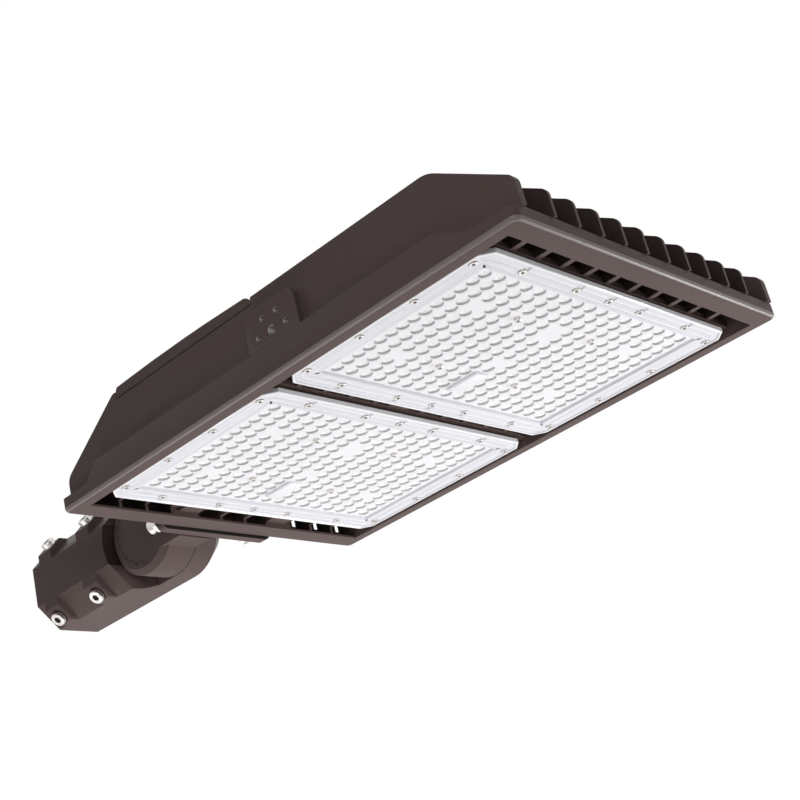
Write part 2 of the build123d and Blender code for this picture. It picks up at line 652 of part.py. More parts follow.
def surge_protector():
    """The surge protector beside the driver."""
    (x, y), (w, d, h) = SURGE_PLACE, SURGE_BOX
    block = box(x, x + w, y, y + d, BASE_TOP_Z, BASE_TOP_Z + h)
    return fillet(block.edges().filter_by(Axis.Z), 4)


def terminal_block():
    """The terminal block for the supply wires, with three pairs of wire openings."""
    (x, y), (w, d, h) = TERMINAL_PLACE, TERMINAL_BOX
    block = box(x, x + w, y, y + d, BASE_TOP_Z, BASE_TOP_Z + h)
    block -= box(x - 1, x + 5, y - 1, y + d + 1, BASE_TOP_Z + h * 0.6, BASE_TOP_Z + h + 1)
    for i in range(3):
        at = y + d * (i + 0.5) / 3
        block -= prism(x - 1, at, BASE_TOP_Z + h * 0.35, (1, 0, 0), 2.5, w * 0.6, 8)
        block -= prism(x + w * 0.65, at, BASE_TOP_Z + h + 1, (0, 0, -1), 2.5, 6, 8)
    return block


def earth_screw():
    """The green earth screw's metal."""
    return cap_bolt(*EARTH_PLACE, BASE_TOP_Z + EARTH_BOSS, (0, 0, 1), 2.5, EARTH_BOSS + 2, 4.5, 3.5, 4.0)


def wire_grommet():
    """The rubber bush where the supply wires enter the housing."""
    bush = wire_way(RIM_X0 + 1, NECK_CHAMBER_X, WIRE_HOLE_R)
    bush += wire_way(NECK_CHAMBER_X, NECK_CHAMBER_X + 2, WIRE_HOLE_R + 1.5)
    return bush - wire_way(RIM_X0, NECK_CHAMBER_X + 3, GROMMET_BORE_R)


# The two LED modules

def connector_x(module):
    """The X of a module's lead, under the smooth tray in the lens."""
    return MODULE_X[module] + TRAY_X + 3


def dome_places():
    """Where the domes are, from the module's centre; the gaps are screws, bumps and the tray."""
    places = []
    for row in range(DOME_ROWS):
        for column in range(DOME_COLUMNS):
            x = ((DOME_ROWS - 1) / 2 - row) * ROW_PITCH
            y = (column - (DOME_COLUMNS - 1) / 2) * COLUMN_PITCH
            blank = row in SCREW_ROWS and column in BLANK_COLUMNS
            middle = column == 8 and row in (4, 8, 10, 11, 12)
            if not blank and not middle:
                places.append((x, y))
    return places


def edge_screws():
    """The perimeter screws, from the module's centre, with the way to the nearest edge."""
    x, y = MODULE_HALF_X - LENS_SCREW_EDGE, MODULE_HALF_Y - LENS_SCREW_SIDE_EDGE
    screws = [(s * x, at, (s, 0)) for s in (-1, 1) for at in LENS_SCREW_Y]
    return screws + [(at, s * y, (0, s)) for s in (-1, 1) for at in LENS_SCREW_X]


def inner_screws():
    """The four screws inside the dome field, from the module's centre."""
    return [(((DOME_ROWS - 1) / 2 - row) * ROW_PITCH, (column - (DOME_COLUMNS - 1) / 2) * COLUMN_PITCH)
            for row in SCREW_ROWS for column in SCREW_COLUMNS]


def screw_holes(z0, z1, r, modules=MODULE_X):
    """One six-sided bar at each lens screw."""
    spots = [(x, y) for x, y, way in edge_screws()] + inner_screws()
    return [prism(at + x, y, z0, (0, 0, 1), r, z1 - z0, 6) for at in modules for x, y in spots]


def lens_screws(at):
    """One module's screws, with plain eight-sided heads."""
    screws = []
    for x, y in [(x, y) for x, y, way in edge_screws()] + inner_screws():
        seat = LENS_SCREW_SEAT if (x, y) not in inner_screws() else DOME_PLANE_Z
        screw = prism(at + x, y, seat, (0, 0, -1), LENS_SCREW_HEAD_R, LENS_SCREW_HEAD, 8)
        screw += prism(at + x, y, seat, (0, 0, 1), LENS_SCREW_R, BASE_Z + LENS_SCREW_BITE - seat, 6)
        screws.append(screw)
    return screws


def lens_blank(at):
    """The lens plate's outline, with its corners cut off."""
    a, b, c = MODULE_HALF_X, MODULE_HALF_Y, MODULE_CORNER
    points = [(a, b - c), (a - c, b), (c - a, b), (-a, b - c)]
    points += [(-x, -y) for x, y in points]
    face = Pos(at, 0, LENS_FRAME_Z) * make_face(Polyline(*points, close=True))
    return extrude(face, amount=BASE_Z - LENS_FRAME_Z, dir=(0, 0, 1))


def field(at, grow_x, grow_y, z0, z1):
    """A block over the module's middle."""
    return box(at - grow_x, at + grow_x, -grow_y, grow_y, z0, z1)


def screw_notch(at, x, y, way):
    """The U-shaped notch from the lens's edge to one screw."""
    r = NOTCH_WIDTH / 2
    notch = prism(at + x, y, LENS_FRAME_Z - 1, (0, 0, 1), r, LENS_SCREW_SEAT - LENS_FRAME_Z + 1, 8)
    out = LENS_SCREW_EDGE + LENS_SCREW_SIDE_EDGE
    x0, x1 = sorted((at + x, at + x + way[0] * out)) if way[0] else (at + x - r, at + x + r)
    y0, y1 = sorted((y, y + way[1] * out)) if way[1] else (y - r, y + r)
    return [notch, box(x0, x1, y0, y1, LENS_FRAME_Z - 1, LENS_SCREW_SEAT)]


def tray(at, shrink, z0, z1):
    """The box over a module's connector."""
    (half_x, half_y), x = TRAY_HALF, at + TRAY_X
    return box(x - half_x + shrink, x + half_x - shrink, shrink - half_y, half_y - shrink, z0, z1)


def dome():
    """One dome of a lens, pointing down, with few flat sides because there are hundreds."""
    turns = [radians(360 * i / DOME_SIDES) for i in range(DOME_SIDES)]
    low = [Vector(DOME_R * cos(a), DOME_R * sin(a), 0) for a in turns]
    top = [Vector(DOME_TOP_R * cos(a), DOME_TOP_R * sin(a), -DOME_HEIGHT) for a in turns]
    rings = [low, top] + [[low[i - 1], low[i], top[i], top[i - 1]] for i in range(DOME_SIDES)]
    return Solid(Shell([Face(Wire.make_polygon(ring)) for ring in rings]))


def lens():
    """The rear module's clear lens: a thick frame, a thin field, its domes and the connector tray."""
    at, lens_top = MODULE_X[0], DOME_PLANE_Z + LENS_T
    plate = lens_blank(at) - field(at, *DOME_FIELD, LENS_FRAME_Z - 1, DOME_PLANE_Z)
    cuts = [field(at, BOARD_HALF_X + BOARD_GAP, BOARD_HALF_Y + BOARD_GAP, lens_top, BASE_Z + 1), seal_groove(at)]
    cuts += [piece for x, y, way in edge_screws() for piece in screw_notch(at, x, y, way)]
    cuts += screw_holes(LENS_FRAME_Z - 1, BASE_Z + 1, LENS_SCREW_R + 2 * BOLT_FIT, [at])
    plate = plate - cuts + tray(at, 0, TRAY_Z, lens_top)
    plate -= tray(at, TRAY_WALL, TRAY_Z + TRAY_WALL, lens_top + 1)
    return plate + [Pos(at + x, y, DOME_PLANE_Z) * dome() for x, y in dome_places()]


def seal_groove(at):
    """The rectangular ring that the lens's seal fills."""
    x, y = BOARD_HALF_X + BOARD_GAP + SEAL_RING_GAP, BOARD_HALF_Y + BOARD_GAP + SEAL_RING_GAP
    w = SEAL_RING_WIDTH
    return field(at, x + w, y + w, BASE_Z - SEAL_RING_T, BASE_Z) - field(at, x, y, BASE_Z - SEAL_RING_T - 1,
                                                                       BASE_Z + 1)


def led_board(module):
    """The aluminium circuit board that the LEDs sit on."""
    at = MODULE_X[module]
    board = field(at, BOARD_HALF_X, BOARD_HALF_Y, BASE_Z - BOARD_T, BASE_Z)
    board -= prism(connector_x(module), LEAD_Y, BASE_Z - BOARD_T - 1, (0, 0, 1), LEAD_R + LEAD_FIT, 5, 8)
    r = LENS_SCREW_R + 2 * BOLT_FIT
    return board - [prism(at + x, y, BASE_Z - 5, (0, 0, 1), r, 6, 6) for x, y in inner_screws()]


def board_connector(module):
    """The plug on the board where the lead ends."""
    x, (w, d, h) = connector_x(module), CONNECTOR
    z = BASE_Z - BOARD_T
    return box(x - w / 2, x + w / 2, -d / 2, d / 2, z - h, z)


def module_lead(module):
    """A module's lead: up from its plug, round a bend, then straight to the driver."""
    x, z, end = connector_x(module), LEAD_Z[module], DRIVER_X[module]
    b = LEAD_BEND_R if end > x else -LEAD_BEND_R
    z0, low, turn = BASE_Z - BOARD_T, z - LEAD_BEND_R, 1 - 1 / sqrt(2)
    path = Wire([Edge.make_line((x, LEAD_Y, z0), (x, LEAD_Y, low)),
                 Edge.make_three_point_arc((x, LEAD_Y, low), (x + b * turn, LEAD_Y, z - abs(b) * turn),
                                           (x + b, LEAD_Y, z)),
                 Edge.make_line((x + b, LEAD_Y, z), (end, LEAD_Y, z))])
    return sweep(Pos(x, LEAD_Y, z0) * RegularPolygon(LEAD_R, 8), path=path)


def lead_ways():
    """The ways that the leads take: a hole in the bay's floor and a square channel in the duct."""
    r = LEAD_R + LEAD_FIT
    x, z, y0, y1 = connector_x(1), LEAD_Z[1], LEAD_Y - r, LEAD_Y + r
    return [prism(connector_x(0), LEAD_Y, BASE_Z - 1, (0, 0, 1), r, BASE_T + 2, 8),
            box(BAY_X1 - BAY_WALL - 1, x, y0, y1, z - r, z + r),
            box(x - LEAD_BEND_R - r, x + r, y0, y1, BASE_Z - 1, z + r)]


save("slip_fitter", slip_fitter())
save("clamp_bolts", clamp_bolts())
save("pivot_bolt", pivot_bolt())
save("pivot_washer", pivot_washer())
save("knuckle_seal", seal_ring(SEAL_GROOVE, SEAL_PROUD))
save("knuckle_bracket", knuckle_bracket())
save("flange_gasket", flange_gasket())
save("flange_bolts", flange_bolts())
save("flange_washers", flange_washers())
save("heat_sink_housing", heat_sink_housing())
save("driver_cover", driver_cover())
save("cover_gasket", cover_gasket())
save("cover_screws", cover_screws())
save("led_driver", led_driver())
save("driver_screws", driver_screws())
save("surge_protector", surge_protector())
save("terminal_block", terminal_block())
save("earth_screw", earth_screw())
save("wire_grommet", wire_grommet())
rear_lens = lens()
for i, name in enumerate(("rear", "front")):
    save(f"{name}_lens", Pos(MODULE_X[i] - MODULE_X[0], 0, 0) * rear_lens)
    save(f"{name}_lens_seal", seal_groove(MODULE_X[i]))
    save(f"{name}_lens_screws", lens_screws(MODULE_X[i]))
    save(f"{name}_led_board", led_board(i))
    save(f"{name}_board_connector", board_connector(i))
    save(f"{name}_module_lead", module_lead(i))
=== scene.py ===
# %% [markdown]
# # An outdoor LED floodlight on a slip-fitter arm
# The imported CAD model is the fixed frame: it says where every piece is and how it moves.
# This script adds what the eye needs. The castings get the soft edges that a die leaves,
# the lenses get their domes, and each surface gets a finish made from nodes.
# Blender works in metres. The sizes here are in millimetres, so a mesh is built in
# millimetres first and scaled once at its end.

# %% Load the frame
import bpy
import bmesh
from math import cos, pi, radians, sin, sqrt
from mathutils import Matrix, Vector


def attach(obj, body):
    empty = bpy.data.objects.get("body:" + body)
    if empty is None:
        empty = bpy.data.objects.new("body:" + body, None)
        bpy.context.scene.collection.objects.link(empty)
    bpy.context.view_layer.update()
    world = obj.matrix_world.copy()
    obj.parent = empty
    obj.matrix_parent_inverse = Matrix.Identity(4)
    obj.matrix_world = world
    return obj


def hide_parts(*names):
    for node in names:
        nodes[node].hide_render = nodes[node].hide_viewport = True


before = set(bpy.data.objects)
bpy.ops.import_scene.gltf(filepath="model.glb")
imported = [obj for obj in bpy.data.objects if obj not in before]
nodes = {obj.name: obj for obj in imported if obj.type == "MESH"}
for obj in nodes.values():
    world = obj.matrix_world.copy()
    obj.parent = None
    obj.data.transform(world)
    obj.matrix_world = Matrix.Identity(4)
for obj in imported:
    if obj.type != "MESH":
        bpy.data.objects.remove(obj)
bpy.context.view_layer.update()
MM = 0.001
PIVOT_X = 143.2
print("CAD nodes:", len(nodes))

# %% [markdown]
# ## Small helpers
# Every new piece ends the same way: its mesh is scaled to metres, gets its materials, and
# rides on a body of the frame. A helper does that once, so that no piece forgets a step.

# %% Helpers for a finished piece
def to_mesh(bm, name):
    """Turn a bmesh into a mesh and free it."""
    mesh = bpy.data.meshes.new(name)
    bm.to_mesh(mesh)
    bm.free()
    return mesh


def link_object(name, data):
    """An object for some data, linked to the scene."""
    made = bpy.data.objects.new(name, data)
    bpy.context.scene.collection.objects.link(made)
    return made


def finish_piece(name, bm, materials, body, stands_for=()):
    """Turn a bmesh in millimetres into a piece of the model."""
    bmesh.ops.scale(bm, vec=(MM, MM, MM), verts=bm.verts)
    mesh = to_mesh(bm, name)
    for material in materials:
        mesh.materials.append(material)
    piece = link_object(name, mesh)
    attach(piece, body)
    if stands_for:
        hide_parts(*stands_for)
    return piece


def smooth(piece, angle):
    """Shade a piece smoothly, but keep its edges sharper than an angle."""
    piece.data.shade_smooth()
    piece.data.set_sharp_from_angle(angle=radians(angle))


def stamp(bm, mesh, matrix):
    """Add a transformed copy of a mesh to a bmesh."""
    first = len(bm.verts)
    bm.from_mesh(mesh)
    bm.verts.ensure_lookup_table()
    bmesh.ops.transform(bm, matrix=matrix, verts=bm.verts[first:])


# %% [markdown]
# ## The camera
# The floodlight was photographed from below, in front and to its left, with a long lens
# and the camera rolled a little. A camera's own axes are the columns of its matrix: right,
# up, and back, which points from the subject to the camera. Writing them out keeps the
# roll exact, where a Track To constraint would always stand upright.

# %% The camera
CAMERA_PLACE = Vector((1.0938, -0.8594, -0.4642))
CAMERA_RIGHT = Vector((0.70849, 0.66947, -0.22327))
CAMERA_UP = Vector((0.42336, -0.15008, 0.89344))
CAMERA_BACK = Vector((0.56463, -0.72752, -0.38976))

camera_data = bpy.data.cameras.new("photo_camera")
camera_data.lens = 69.04
camera_data.sensor_width = 36.0
camera_data.clip_start = 0.01
camera = link_object("photo_camera", camera_data)
camera.matrix_world = Matrix((CAMERA_RIGHT, CAMERA_UP, CAMERA_BACK)).transposed().to_4x4()
camera.matrix_world.translation = CAMERA_PLACE
bpy.context.scene.camera = camera
bpy.context.scene.view_settings.view_transform = "Standard"
print("camera", [round(c, 3) for c in camera.matrix_world.translation])

# %% [markdown]
# ## Finishes
# A finish is a Principled shader with a few nodes that break it up. All of them read Object
# coordinates, so the grain has a real size: a noise scale of 900 gives grains of about a
# millimetre. The helper makes the common part: a colour that drifts between two tones, a
# roughness, and a fine bump.

# %% A helper for finishes
DRIFT_SCALE = 14.0
ROUGHNESS_SPREAD = 0.06
RELIEF_DEPTH = 0.0004


def finish(name, dark, light, roughness, metallic=0.0, grain=900.0, bump=0.15,
           stretch=(1, 1, 1), specular=0.5, alpha=1.0):
    """A Principled material with drifting colour and a fine grain."""
    material = bpy.data.materials.new(name)
    material.use_nodes = True
    tree = material.node_tree
    shader = tree.nodes["Principled BSDF"]
    shader.inputs["Metallic"].default_value = metallic
    shader.inputs["Specular IOR Level"].default_value = specular
    shader.inputs["Alpha"].default_value = alpha
    coordinates = tree.nodes.new("ShaderNodeTexCoord")
    mapping = tree.nodes.new("ShaderNodeMapping")
    mapping.inputs["Scale"].default_value = stretch
    tree.links.new(coordinates.outputs["Object"], mapping.inputs["Vector"])

    def noise(scale, detail):
        node = tree.nodes.new("ShaderNodeTexNoise")
        node.inputs["Scale"].default_value = scale
        node.inputs["Detail"].default_value = detail
        tree.links.new(mapping.outputs["Vector"], node.inputs["Vector"])
        return node

    colour = tree.nodes.new("ShaderNodeMix")
    colour.data_type = "RGBA"
    colour.inputs["A"].default_value = (*dark, 1.0)
    colour.inputs["B"].default_value = (*light, 1.0)
    tree.links.new(noise(DRIFT_SCALE, 4.0).outputs["Fac"], colour.inputs["Factor"])
    tree.links.new(colour.outputs["Result"], shader.inputs["Base Color"])

    fine = noise(grain, 2.0)
    spread = tree.nodes.new("ShaderNodeMapRange")
    spread.inputs["To Min"].default_value = roughness - ROUGHNESS_SPREAD
    spread.inputs["To Max"].default_value = roughness + ROUGHNESS_SPREAD
    tree.links.new(fine.outputs["Fac"], spread.inputs["Value"])
    tree.links.new(spread.outputs["Result"], shader.inputs["Roughness"])
    relief = tree.nodes.new("ShaderNodeBump")
    relief.inputs["Strength"].default_value = bump
    relief.inputs["Distance"].default_value = RELIEF_DEPTH
    tree.links.new(fine.outputs["Fac"], relief.inputs["Height"])
    tree.links.new(relief.outputs["Normal"], shader.inputs["Normal"])
    return material


# %% [markdown]
# ### The powder coat and the metals
# The castings have a dark bronze powder coat. It is a plastic film on metal, so it isn't
# metallic: a brown base, half-matt, with the fine orange peel that powder leaves. The
# white background shows in every glossy surface, so the coat's own shine is kept low.
# Between the fins, in the slots and in the hub's recess the coat is darker: painted shade
# for those hollows. The rim's rounded lower edge has a paler, shinier coat, a painted
# highlight that makes the long light line under the housing. Holes tapped after coating are
# bare. The bolts are stainless steel, whose drawn grain is noise stretched along one axis.

# %% Powder coat, steel, rubber and plastics
bronze = finish("bronze_powder_coat", (0.090, 0.0635, 0.0590), (0.109, 0.0775, 0.0725), 0.40,
                grain=1400.0, bump=0.10, specular=0.07)
# A painted highlight: the paler, shinier coat of the rim's rounded lower edge.
rim_highlight_bronze = finish("bronze_painted_rim_highlight", (0.165, 0.136, 0.130), (0.205, 0.170, 0.164), 0.34,
                     grain=1400.0, bump=0.08, specular=0.30)
# Painted shade: a darker coat between the fins, in the slots, in the hub's recess and on the rear
# webs.
painted_shade_bronze = finish("bronze_with_painted_shade", (0.034, 0.0235, 0.0215), (0.047, 0.033, 0.030), 0.55,
                     grain=1100.0, bump=0.12, specular=0.05)
bare_aluminium = finish("tapped_aluminium", (0.105, 0.096, 0.093), (0.150, 0.139, 0.135), 0.38,
                        metallic=1.0, grain=800.0, bump=0.05)
steel = finish("bolt_steel", (0.58, 0.55, 0.53), (0.70, 0.67, 0.65), 0.22, metallic=1.0,
               grain=500.0, bump=0.05, stretch=(1.0, 1.0, 6.0))
dull_steel = finish("lens_screw_steel", (0.56, 0.53, 0.51), (0.66, 0.63, 0.61), 0.40,
                    metallic=1.0, grain=500.0, bump=0.05)
socket_dark = finish("socket_shadow", (0.24, 0.22, 0.21), (0.30, 0.28, 0.27), 0.4, metallic=1.0)
driver_metal = finish("driver_case_metal", (0.50, 0.51, 0.52), (0.58, 0.59, 0.60), 0.4,
                      metallic=1.0, grain=700.0)
black_rubber = finish("black_rubber", (0.020, 0.016, 0.015), (0.028, 0.023, 0.022), 0.75,
                      specular=0.03)
white_rubber = finish("white_silicone", (0.72, 0.72, 0.72), (0.80, 0.80, 0.80), 0.6)
white_plastic = finish("white_nylon", (0.70, 0.70, 0.68), (0.78, 0.78, 0.76), 0.5)
black_plastic = finish("black_moulding", (0.015, 0.015, 0.016), (0.025, 0.025, 0.026), 0.5)
lead_white = finish("lead_jacket", (0.62, 0.62, 0.62), (0.70, 0.70, 0.70), 0.55)
board_white = finish("white_solder_mask", (0.82, 0.82, 0.82), (0.88, 0.88, 0.88), 0.45,
                     grain=2500.0, bump=0.04)
phosphor = finish("led_phosphor", (0.62, 0.58, 0.22), (0.72, 0.66, 0.30), 0.5)
chip_white = finish("led_package_white", (0.93, 0.93, 0.94), (0.95, 0.95, 0.955), 0.4, bump=0.0)
print("finishes:", len(bpy.data.materials))

# %% [markdown]
# ### The moulded lens
# The lens is clear polycarbonate over a white board, so most of it reads white. Full
# refraction needs many samples and still comes out dark under small domes. Alpha does the
# same job cleanly: the plate is closed and the domes are nearly open. The walls of the
# hollow behind each dome are painted grey, painted shade that the eye takes for its edge.

# %% Lens finishes
lens_plate = finish("lens_plate", (0.79, 0.78, 0.805), (0.84, 0.83, 0.855), 0.22,
                    grain=600.0, bump=0.03)
lens_band = finish("lens_band", (0.64, 0.635, 0.685), (0.74, 0.735, 0.775), 0.18,
                   grain=400.0, bump=0.04)
lens_lip = finish("lens_lip", (0.85, 0.85, 0.87), (0.90, 0.90, 0.92), 0.15, bump=0.02)
lens_dome = finish("lens_dome", (0.93, 0.93, 0.94), (0.95, 0.95, 0.96), 0.10, bump=0.02,
                   alpha=0.07)
# The hollow's grey wall is painted shade: the crescent at each dome's edge.
lens_hollow_shade = finish("lens_hollow_wall_painted_shade", (0.56, 0.55, 0.555), (0.62, 0.61, 0.615), 0.35)
lens_floor = finish("lens_hollow_floor", (0.93, 0.93, 0.94), (0.95, 0.95, 0.96), 0.10,
                    bump=0.0, alpha=0.03)
notch_wall = finish("lens_notch_wall", (0.80, 0.79, 0.79), (0.86, 0.85, 0.85), 0.30)
LENS_MATERIALS = (lens_plate, lens_band, lens_lip, lens_dome, lens_hollow_shade, lens_floor, notch_wall)
PLATE, BAND, LIP, DOME, WALL, FLOOR, NOTCH = range(7)
print("lens finishes:", len(LENS_MATERIALS))

# %% [markdown]
# ## The castings
# A CAD edge is perfectly sharp and catches no light. A die-cast edge is rounded, and the
# powder on it makes a thin bright line. The way here is a copy of the CAD mesh with its
# doubled points merged and its flat areas joined, then a Bevel modifier that only takes
# edges sharper than an angle. Before that, each face gets its coat from where it lies and
# which way it looks.

# %% Which coat a face has
# The second coat is painted shade in the hollows; EDGE is a painted highlight on the rim's rounded
# lower edge.
COAT, PAINTED_SHADE, EDGE = range(3)
FIN_HALF_Y, FIN_FOOT_Z = 140.0, -16.0
REAR_SLOTS = ((209.0, 239.5), (60.0, 147.6), (-21.6, 0.0))
FRONT_SLOTS = ((634.0, 653.0), (-1.0, 160.0), (-15.9, 0.0))
RIM_BOTTOM_Z, RIM_FRONT_X, RIM_SIDE_Y = -20.0, 660.0, 155.0
OBLIQUE_DOWN = (-0.97, -0.05)
STRAIGHT = 0.9
HUB_RECESS_R, HUB_RECESS_NEAR = 40.5, 0.3


def housing_coat(face):
    """Painted shade between the fins and in the slots, a painted highlight on the rim's rounded
    lower edge.
    """
    centre, normal = face.calc_center_median(), face.normal
    place = (centre.x, abs(centre.y), centre.z)

    def inside(box):
        return all(low < value < high for value, (low, high) in zip(place, box))

    # The rim's rounded lower edge takes the paler coat, a painted highlight.
    if centre.z < RIM_BOTTOM_Z and OBLIQUE_DOWN[0] < normal.z < OBLIQUE_DOWN[1]:
        if place[0] > RIM_FRONT_X or place[1] > RIM_SIDE_Y:
            return EDGE
    # Fin sides and slot walls take the darker coat, painted shade.
    fin_side = abs(normal.y) > STRAIGHT and place[1] < FIN_HALF_Y and centre.z > FIN_FOOT_Z
    slot_wall = inside(REAR_SLOTS) or (inside(FRONT_SLOTS) and normal.z > -STRAIGHT)
    return PAINTED_SHADE if fin_side or slot_wall else COAT


def arm_coat(face):
    """Painted shade on the wall of the round recess that the hub turns in."""
    reach = [sqrt((v.co.x - PIVOT_X) ** 2 + v.co.z ** 2) for v in face.verts]
    round_wall = all(abs(r - HUB_RECESS_R) < HUB_RECESS_NEAR for r in reach)
    return PAINTED_SHADE if round_wall and abs(face.normal.y) < 0.1 else COAT


# %% Castings with soft edges
def soft_casting(node, width, body, coat_of=None):
    """A copy of a CAD node with rounded edges; coat_of picks each face's coat."""
    bm = bmesh.new()
    bm.from_mesh(nodes[node].data)
    bmesh.ops.remove_doubles(bm, verts=bm.verts, dist=2e-6)
    bmesh.ops.dissolve_limit(bm, angle_limit=radians(1.0), verts=bm.verts, edges=bm.edges)
    bmesh.ops.scale(bm, vec=(1 / MM,) * 3, verts=bm.verts)
    bm.normal_update()
    if coat_of:
        for face in bm.faces:
            face.material_index = coat_of(face)
    # The second coat is painted shade, the third a painted highlight.
    coats = [bronze, painted_shade_bronze, rim_highlight_bronze]
    piece = finish_piece(node + "_casting", bm, coats, body, [node])
    smooth(piece, 30)
    edge = piece.modifiers.new("soft_edges", "BEVEL")
    edge.width = width * MM
    edge.segments = 2
    edge.limit_method = "ANGLE"
    edge.angle_limit = radians(32)
    edge.harden_normals = True
    print(piece.name, len(piece.data.polygons), "faces before the bevel")


soft_casting("slip_fitter", 0.7, "slip_fitter", arm_coat)
soft_casting("knuckle_bracket", 0.7, "luminaire")
soft_casting("heat_sink_housing", 0.5, "luminaire", housing_coat)
soft_casting("driver_cover", 0.6, "luminaire")

# %% [markdown]
# ## Finishes on the CAD's own pieces
# The gaskets, boards and electrical pieces have the right shape already, so they only get
# their finish, by replacing the material in their mesh.

# %% Finishes by node
FINISH_OF = {
    "knuckle_seal": black_rubber, "flange_gasket": black_rubber, "cover_gasket": black_rubber,
    "wire_grommet": black_rubber, "pivot_washer": steel, "flange_washers": steel,
    "driver_screws": steel, "earth_screw": steel, "led_driver": driver_metal,
    "surge_protector": black_plastic, "terminal_block": white_plastic,
}
for end in ("rear", "front"):
    FINISH_OF[end + "_lens_seal"] = white_rubber
    FINISH_OF[end + "_led_board"] = board_white
    FINISH_OF[end + "_board_connector"] = white_plastic
    FINISH_OF[end + "_module_lead"] = lead_white
for node, material in FINISH_OF.items():
    nodes[node].data.materials.clear()
    nodes[node].data.materials.append(material)
print("finished CAD nodes:", len(FINISH_OF))

# %% [markdown]
# ## The lenses
# Each module has one moulded lens: a frame with a bright lip and two fine ridges, a
# recessed field, and its domes in rows. One cell of the field is modelled once, with
# its dome below and its hollow above, and then copied along the rows. The copies share
# their border points, so merging doubles joins them into one skin.

# %% Sizes of a lens, in millimetres
MODULE_X = {"rear": 335.7, "front": 540.2}
MODULE_HALF = (95.0, 145.5)
MODULE_CORNER = 9.0
FLANGE_BACK_Z = -18.7
FLANGE_UNDERCUT = 8.5
FRAME_Z = -22.4
PLANE_Z = -19.5
BACK_Z = -17.15
BASE_Z = -15.8
ROWS, COLUMNS = 14, 17
ROW_PITCH, COLUMN_PITCH = 10.65, 14.6
DOME_SIDES = 12
DOME_PROFILE = ((4.8, 0.0), (4.5, 0.9), (3.6, 2.0), (2.0, 2.75))
DOME_TOP = 3.0
HOLLOW_R = 4.6
HOLLOW_Z = -19.35
SCREW_ROWS, SCREW_COLUMNS = (3, 10), (5, 11)
BLANK_COLUMNS = (2, 5, 8, 11, 14)
MIDDLE_COLUMN, MIDDLE_BLANK_ROWS = 8, (4, 8, 10, 11, 12)
TRAY_ROW = 11
TRAY_HALF = (15.0, 7.8)
TRAY_DEPTH_Z = (-22.3, -18.6)


def cell_centre(row, column):
    """A cell's place from the module's centre."""
    return ((ROWS - 1) / 2 - row) * ROW_PITCH, (column - (COLUMNS - 1) / 2) * COLUMN_PITCH


def has_dome(row, column):
    """Whether a cell has a dome; the others are screws, blanks and the tray."""
    blank = row in SCREW_ROWS and column in BLANK_COLUMNS
    middle = column == MIDDLE_COLUMN and row in MIDDLE_BLANK_ROWS
    return not blank and not middle


domes = [(row, column) for row in range(ROWS) for column in range(COLUMNS) if has_dome(row, column)]
print("domes in a lens:", len(domes))

# %% [markdown]
# The cell starts as two loops with the same number of points: a circle, and a rectangle
# whose sides are cut in three. Bridging them gives a flat ring of clean quads. The circle
# is then extruded and scaled ring by ring into the dome.

# %% Loops and rings
def loop_of(bm, sides, size, turn, z, cuts=0):
    """A closed loop of edges: a regular outline, turned, stretched and cut finer."""
    known = set(bm.edges)
    verts = bmesh.ops.create_circle(bm, segments=sides, radius=1.0)["verts"]
    bmesh.ops.rotate(bm, verts=verts, matrix=Matrix.Rotation(turn, 3, "Z"))
    bmesh.ops.scale(bm, verts=verts, vec=(size[0], size[1], 1.0))
    bmesh.ops.translate(bm, verts=verts, vec=(0, 0, z))
    if cuts:
        uncut = [e for e in bm.edges if e not in known]
        bmesh.ops.subdivide_edges(bm, edges=uncut, cuts=cuts)
    return [e for e in bm.edges if e not in known]


def extrude_loop(bm, edges, ratio=(1.0, 1.0), dz=0.0):
    """Extrude a loop, scale it about Z and move it along Z; returns the new loop."""
    made = bmesh.ops.extrude_edge_only(bm, edges=edges)["geom"]
    verts = [g for g in made if isinstance(g, bmesh.types.BMVert)]
    bmesh.ops.scale(bm, verts=verts, vec=(ratio[0], ratio[1], 1.0))
    bmesh.ops.translate(bm, verts=verts, vec=(0, 0, dz))
    return [g for g in made if isinstance(g, bmesh.types.BMEdge)]


def extrude_ring(bm, edges, radius_from, radius_to, dz):
    """Extrude a round loop from one radius to another."""
    return extrude_loop(bm, edges, (radius_to / radius_from,) * 2, dz)


def mark_new(bm, known, index):
    """Give a material to the faces made since the last call; returns all faces."""
    for face in bm.faces:
        if face not in known:
            face.material_index = index
    return set(bm.faces)


# %% One cell of the field
def flat_ring(bm, z, radius):
    """The flat ring between a cell's rectangle and a circle in it; returns the circle."""
    half = (COLUMN_PITCH / 2, ROW_PITCH / 2)
    border = loop_of(bm, 4, (half[1] * sqrt(2), half[0] * sqrt(2)), pi / 4, z, cuts=2)
    circle = loop_of(bm, DOME_SIDES, (radius, radius), pi / DOME_SIDES, z)
    bmesh.ops.bridge_loops(bm, edges=border + circle)
    return circle


